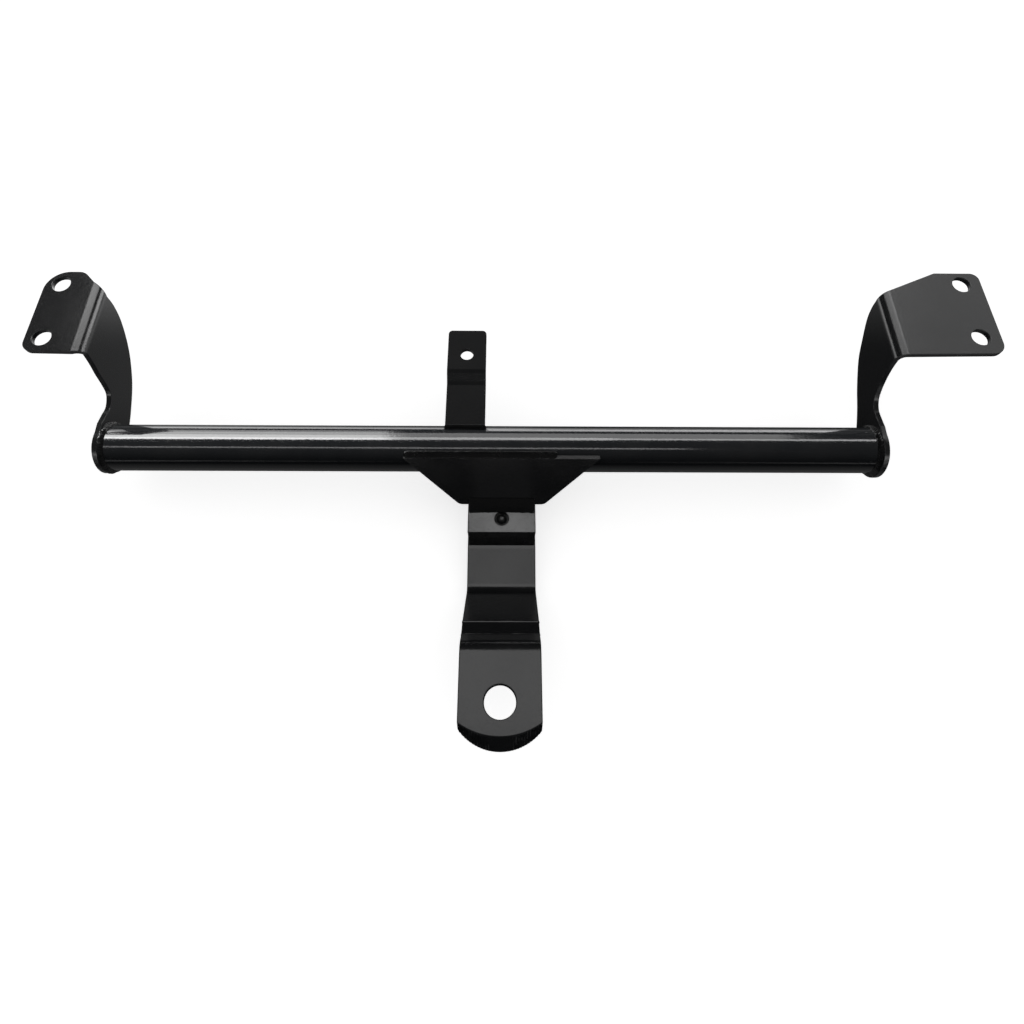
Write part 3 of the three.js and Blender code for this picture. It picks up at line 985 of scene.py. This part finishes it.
@dataclass
class Gusset(SubAssembly):
    """The leaning plate in front of the tube, with its top and foot beads."""

    corner: float = 0.0007
    lean: float = math.radians(33.3)
    thick: float = 6.0
    up: float = 7.5
    top_angle: float = math.radians(62)
    foot_leg: float = 8.5

    def build(self) -> None:
        """Dresses the plate and lays its beads."""
        self.dress("gusset_plate", Slot.PLATE, self.corner, held=True)
        self._top()
        self._foot()

    def _on(self, off: float, along: float) -> Point2:
        """A point of the plate's section.

        Args:
            off: Millimetres from the tube's axis across the plate.
            along: Millimetres down the plate from where it touches the tube.

        Returns:
            Its y and z from the tube's axis.
        """
        c, s = math.cos(self.lean), math.sin(self.lean)
        return -off * c - along * s, off * s - along * c

    def _top(self) -> None:
        """The long bead along the plate's upper edge."""
        low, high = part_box("weld_gusset_top")
        start = (low[0] - self.place.middle_x) / MM
        r = self.place.tube_r / MM - BITE
        edge = -self.up - 0.1
        back = math.sqrt(r**2 - edge**2)
        from_angle = self.lean + math.atan2(-edge, back)
        skin = []
        for k in range(5):
            a = self.top_angle + (from_angle - self.top_angle) * k / 4
            skin.append((-r * math.cos(a), r * math.sin(a)))
        self.lay(
            WeldBead(
                name="gusset_top_weld",
                stands_for="weld_gusset_top",
                place=self.straight(start),
                toe_a=self._on(r + self.thick + BITE, edge),
                toe_b=skin[0],
                root=(*skin[1:], self._on(r + 0.5, edge + 0.2)),
                length=(high[0] - low[0]) / MM,
                dome=0.7,
                ripple=0.25,
                taper=5.0,
                seed=51.0,
            )
        )

    def _foot(self) -> None:
        """The bead between the plate's foot and the stub."""
        low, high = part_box("weld_gusset_foot")
        start = (low[0] - self.place.middle_x) / MM
        stub_top = (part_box("stub_plate")[1][2] - self.place.axis_z) / MM
        r = self.place.tube_r / MM
        off = r + GAP + self.thick
        foot = (off * math.sin(self.lean) - stub_top) / math.cos(self.lean)
        corner = self._on(off - GAP, foot)
        up = self._on(off - 0.1, foot - self.foot_leg)
        self.lay(
            WeldBead(
                name="gusset_foot_weld",
                stands_for="weld_gusset_foot",
                place=self.straight(start),
                toe_a=(corner[0] - self.foot_leg, stub_top - BITE),
                toe_b=up,
                root=(
                    self._on(off - 0.6, foot - self.foot_leg + 1.5),
                    (corner[0] + 0.5, stub_top - BITE),
                ),
                length=(high[0] - low[0]) / MM,
                dome=0.9,
                ripple=0.35,
                uneven=0.8,
                bow=2.6,
                taper=1.2,
                seed=61.0,
            )
        )


@dataclass
class RearStrap(SubAssembly):
    """The joggled strap behind the tube, with the beads above and below it."""

    corner: float = 0.0006
    front_angle: float = math.radians(58)
    face: float = 0.8
    overhang: float = 1.2
    under_leg: float = 6.0
    under_step: float = 0.07

    def build(self) -> None:
        """Dresses the strap and lays its beads."""
        self.dress("rear_strap", Slot.PLATE, self.corner)
        low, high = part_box("rear_strap")
        start = (low[0] - self.place.middle_x) / MM
        width = (high[0] - low[0]) / MM
        front = (low[1] - self.place.axis_y) / MM
        under_z = (low[2] - self.place.axis_z) / MM
        r = self.place.tube_r / MM - BITE
        face = self.place.tube_r / MM + self.face
        begin = math.acos(min(1.0, front / r))
        skin = []
        for k in range(6):
            a = self.front_angle + (begin - self.front_angle) * k / 5
            skin.append((r * math.cos(a), r * math.sin(a)))
        self.lay(
            WeldBead(
                name="strap_top_weld",
                stands_for="weld_strap_top",
                place=self.straight(start - self.overhang),
                toe_a=(front + 0.4, face - 0.4),
                toe_b=skin[0],
                root=skin[1:],
                length=width + 2 * self.overhang,
                dome=0.7,
                ripple=0.3,
                seed=71.0,
            )
        )
        z = under_z + BITE
        below = []
        for k in range(5):
            a = math.asin(z / r) - k * self.under_step
            below.append((r * math.cos(a), r * math.sin(a)))
        self.lay(
            WeldBead(
                name="strap_under_weld",
                stands_for="weld_strap_under",
                place=self.straight(start),
                toe_a=(below[0][0] + self.under_leg, z),
                toe_b=below[-1],
                root=(*reversed(below[1:-1]), (below[0][0], z)),
                length=width,
                dome=0.5,
                seed=81.0,
            )
        )


# ---- Studio -------------------------------------------------------------------------------------

# The pieces that lights are linked to, and where lights are aimed.
LEFT = ("bracket_left",)
RIGHT = ("bracket_right",)
TONGUE = ("tongue_bar",)
MARKS = ("press_mark_lower", "press_mark_upper")
STRAP = ("rear_strap",)
STUB = ("stub_plate",)
PLATES = (*LEFT, *RIGHT, *STUB, "gusset_plate", *STRAP)
MIDDLE = (0.0, 0.0, 0.0)
LEFT_BEND = (-0.38, 0.1, 0.08)
RIGHT_BEND = (0.37, 0.1, 0.08)


@dataclass(frozen=True)
class SoftLight:
    """A soft rectangular studio light, aimed at a point and linked to the pieces that it lights.

    Places are metres from the crossbar's axis at the tongue's centre line.
    """

    name: str
    at: Point3
    aim: Point3
    wide: float
    tall: float
    radiance: float
    only: tuple[str, ...]

    def hang(self, place: Place) -> None:
        """Hangs the light.

        Args:
            place: Where the tow bar is.
        """
        data = bpy.data.lights.new(self.name, "AREA")
        data.shape = "RECTANGLE"
        data.size = self.wide
        data.size_y = self.tall
        data.energy = self.radiance * math.pi * self.wide * self.tall
        lamp = bpy.data.objects.new(self.name, data)
        here = place.at(*(v / MM for v in self.at))
        there = place.at(*(v / MM for v in self.aim))
        lamp.matrix_world = Matrix.LocRotScale(here, (there - here).to_track_quat("-Z", "Y"), None)
        bpy.context.scene.collection.objects.link(lamp)
        lit = bpy.data.collections.new(f"lit_by_{self.name}")
        for name in self.only:
            lit.objects.link(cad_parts.get(name) or bpy.data.objects[name])
        lamp.light_linking.receiver_collection = lit


@dataclass(frozen=True)
class TubePanel:
    """A long panel that the crossbar and a weld beside it mirror, placed by angle round its axis.

    Angles are degrees up from the level in front of the bar, over the top and down behind.
    """

    name: str
    low: float
    high: float
    left: float
    right: float
    radiance: float
    also: tuple[str, ...] = ()
    away: float = 1.2

    def light(self) -> SoftLight:
        """Turns the panel into a soft light.

        Returns:
            The light.
        """
        ends = []
        for turn in (math.radians(self.low), math.radians(self.high)):
            ends.append(Vector((0.0, -self.away * math.cos(turn), self.away * math.sin(turn))))
        at = (ends[0] + ends[1]) / 2
        middle = (self.left + self.right) / 2
        return SoftLight(
            name=self.name,
            at=(middle, at.y, at.z),
            aim=(middle, 0.0, 0.0),
            wide=self.right - self.left,
            tall=(ends[1] - ends[0]).length,
            radiance=self.radiance,
            only=("crossbar_tube", *self.also),
        )


@dataclass
class Studio:
    """The floor, the lights and the camera."""

    place: Place
    floor_half: float = 6.0
    floor_tint: Point3 = (0.86, 0.86, 0.86)
    surround: float = 1.5
    ambient: float = 0.5
    floor_glow: float = 0.66
    lens: float = 23.2
    shift_y: float = -0.083
    stand: Point3 = (3.7, -262.28, 585.24)
    yaw: float = 0.021
    pitch: float = 1.116
    roll: float = 0.023
    dark_ahead: float = 0.0
    room: float = 0.06
    far_glow: Point2 = (0.9, 3.0)
    near_glow: Point2 = (0.04, 0.22)
    under_glow: float = 0.15
    side_glow: float = 0.7
    panels: tuple[TubePanel, ...] = (
        TubePanel("bar_left_1", 110, 120, -1.5, -0.31, 20.0, ("ring_weld_left",)),
        TubePanel("bar_left_2", 120, 136, -1.5, -0.31, 12.0, ("ring_weld_left",)),
        TubePanel("bar_left_3", 136, 154, -1.5, -0.31, 7.0),
        TubePanel("bar_left_4", 154, 166, -1.5, -0.31, 3.2),
        TubePanel("bar_middle", 111, 123, -0.31, 0.3, 8.0),
        TubePanel("bar_right_1", 113, 121, 0.3, 1.5, 7.0, ("ring_weld_right",)),
        TubePanel("bar_right_2", 121, 150, -0.31, 0.78, 2.8),
        TubePanel("bar_right_3", 166, 182, -0.1, 1.6, 4.6),
        TubePanel("bar_glint", 67, 72, -1.2, 0.5, 3.6, ("gusset_top_weld",)),
    )
    lights: tuple[SoftLight, ...] = (
        SoftLight("tongue_top", (0.0, 0.2, 1.3), MIDDLE, 0.7, 1.0, 1.75, TONGUE + MARKS),
        SoftLight("tongue_mid", (0.0, -0.5, 1.3), (0.0, -0.1, 0.0), 0.6, 0.36, 1.5, TONGUE),
        SoftLight(
            "stub_light", (0.02, 0.36, 1.3), (0.0, -0.06, 0.0), 0.4, 0.25, 4.4, (*STUB, "plug_pool")
        ),
        SoftLight("strap_light", (-0.15, 0.8, 1.2), (0.0, 0.1, 0.0), 0.5, 0.4, 0.2, STRAP),
        SoftLight("left_flange", (-1.2, 0.6, 1.0), (-0.4, 0.1, 0.08), 1.0, 0.8, 0.08, LEFT),
        SoftLight("left_bend_up", (-0.36, 0.85, 1.28), LEFT_BEND, 1.5, 0.4, 5.2, LEFT),
        SoftLight("left_bend_side", (0.62, 0.72, 0.36), LEFT_BEND, 0.3, 0.5, 7.0, LEFT),
        SoftLight("right_flange", (1.2, 0.8, 1.05), (0.4, 0.1, 0.08), 1.0, 0.8, 1.05, RIGHT),
        SoftLight("right_bend", (0.34, 0.85, 1.28), RIGHT_BEND, 1.5, 0.4, 3.2, RIGHT),
        SoftLight(
            "plate_edges", (0.0, -1.5, 1.05), (0.0, 0.1, 0.08), 3.8, 0.5, 2.2, LEFT + RIGHT + STRAP
        ),
        SoftLight("fill_front", (0.0, -1.9, 0.55), MIDDLE, 3.2, 0.6, 0.9, PLATES),
        SoftLight("fill_rear", (0.0, 1.9, 0.55), MIDDLE, 3.2, 0.7, 1.6, PLATES),
        SoftLight("fill_left", (-2.1, 0.0, 0.55), MIDDLE, 1.4, 0.7, 1.6, PLATES + TONGUE),
        SoftLight("fill_right", (2.1, 0.0, 0.55), MIDDLE, 1.4, 0.7, 1.6, PLATES + TONGUE),
    )

    def build(self) -> None:
        """Lays the floor, hangs the lights and stands the camera."""
        self._floor()
        self._world()
        for light in (*self.lights, *(panel.light() for panel in self.panels)):
            light.hang(self.place)
        self._camera()
        scene = bpy.context.scene
        scene.view_settings.view_transform = "Standard"
        scene.view_settings.look = "None"
        log.info("studio ready")

    def _floor(self) -> None:
        """A plain pale sheet under the object."""
        mesh = bmesh.new()
        half = self.floor_half
        corners = [(-half, -half), (half, -half), (half, half), (-half, half)]
        mesh.faces.new([mesh.verts.new((x, y, 0.0)) for x, y in corners])
        data = bpy.data.meshes.new("floor")
        mesh.to_mesh(data)
        mesh.free()
        floor = bpy.data.objects.new("floor", data)
        bpy.context.scene.collection.objects.link(floor)
        data.materials.append(self._paper())

    def _paper(self) -> bpy.types.Material:
        """The floor's paper, which gloss sees as shaded in front and lit behind and at the sides.

        Returns:
            The material.
        """
        paper = bpy.data.materials.new("floor_paper")
        paper.use_nodes = True
        sheet = NodeSheet(paper.node_tree)
        shader = paper.node_tree.nodes["Principled BSDF"]
        shader.inputs["Base Color"].default_value = (*self.floor_tint, 1.0)
        shader.inputs["Roughness"].default_value = 0.9
        shader.inputs["Specular IOR Level"].default_value = 0.1
        parts = sheet.add("ShaderNodeSeparateXYZ")
        sheet.join(sheet.add("ShaderNodeTexCoord").outputs["Object"], parts.inputs[0])
        x, y = parts.outputs["X"], parts.outputs["Y"]
        right_and_left = sheet.step(x, 0.15, -0.25, self.far_glow)
        far = sheet.math("MULTIPLY", sheet.step(y, 0.2, 0.45), right_and_left)
        below = sheet.step(y, -0.2, 0.0, (0.0, self.under_glow))
        under = sheet.math("MULTIPLY", below, sheet.step(y, 0.08, 0.0))
        right_and_left = sheet.step(x, 0.1, -0.3, self.near_glow)
        near = sheet.math("MULTIPLY", sheet.step(y, 0.0, 0.15), right_and_left)
        around = sheet.step(sheet.math("ABSOLUTE", x), 0.6, 1.0, (0.0, self.side_glow))
        rays = sheet.add("ShaderNodeLightPath").outputs
        shader.inputs["Emission Color"].default_value = (1.0, 1.0, 1.0, 1.0)
        glow = sheet.math("MULTIPLY", rays["Is Camera Ray"], self.floor_glow)
        sheet.join(glow, shader.inputs["Emission Strength"])
        total = sheet.math("ADD", sheet.math("ADD", far, around), sheet.math("ADD", near, under))
        seen = sheet.feed(sheet.add("ShaderNodeEmission"), Strength=total)
        mixed = sheet.add("ShaderNodeMixShader")
        sheet.join(rays["Is Glossy Ray"], mixed.inputs[0])
        sheet.join(shader.outputs[0], mixed.inputs[1])
        sheet.join(seen.outputs[0], mixed.inputs[2])
        sheet.join(mixed.outputs[0], paper.node_tree.nodes["Material Output"].inputs[0])
        return paper

    def _world(self) -> None:
        """A plain pale surround that gloss sees as a dim room, a little lighter overhead."""
        world = bpy.data.worlds.new("surround")
        world.use_nodes = True
        sheet = NodeSheet(world.node_tree)
        back = world.node_tree.nodes["Background"]
        where = sheet.add("ShaderNodeTexCoord").outputs["Generated"]
        parts = sheet.add("ShaderNodeSeparateXYZ")
        sheet.join(where, parts.inputs[0])
        room = sheet.step(parts.outputs["Z"], 0.1, 0.8, (self.dark_ahead, self.room))
        rays = sheet.add("ShaderNodeLightPath").outputs
        extra = self.surround - self.ambient
        seen = sheet.math("MULTIPLY_ADD", rays["Is Camera Ray"], extra, self.ambient)
        strength = sheet.add("ShaderNodeMix", data_type="FLOAT")
        sheet.join(rays["Is Glossy Ray"], strength.inputs[0])
        sheet.join(seen, strength.inputs[2])
        sheet.join(room, strength.inputs[3])
        sheet.join(strength.outputs[0], back.inputs["Strength"])
        back.inputs["Color"].default_value = (1.0, 1.0, 1.0, 1.0)
        bpy.context.scene.world = world

    def _camera(self) -> None:
        """Stands the camera, looking down at the bar from in front."""
        cy, sy = math.cos(self.yaw), math.sin(self.yaw)
        cp, sp = math.cos(self.pitch), math.sin(self.pitch)
        cr, sr = math.cos(self.roll), math.sin(self.roll)
        ahead = Vector((sy * cp, cy * cp, -sp))
        level = Vector((cy, -sy, 0.0))
        rise = level.cross(ahead)
        right = cr * level + sr * rise
        up = -sr * level + cr * rise
        data = bpy.data.cameras.new("camera")
        data.sensor_width = 36.0
        data.lens = self.lens
        data.shift_y = self.shift_y
        data.clip_start = 0.01
        camera = bpy.data.objects.new("camera", data)
        turn = Matrix((right, up, -ahead)).transposed().to_4x4()
        camera.matrix_world = Matrix.Translation(self.place.at(*self.stand)) @ turn
        bpy.context.scene.collection.objects.link(camera)
        bpy.context.scene.camera = camera


def main() -> None:
    """Builds the studio and the tow bar, and reports each piece."""
    logging.basicConfig(level=logging.INFO, format="%(name)s: %(message)s")
    place = Place.read()
    shop = PaintShop()
    shop.open()
    soft = EdgeSoftener()
    Crossbar(place, shop, soft).build()
    EndBracket(place, shop, soft, side="left").build()
    EndBracket(place, shop, soft, side="right").build()
    StubAndTongue(place, shop, soft).build()
    Gusset(place, shop, soft).build()
    RearStrap(place, shop, soft).build()
    Studio(place).build()


if __name__ == "__main__":
    main()
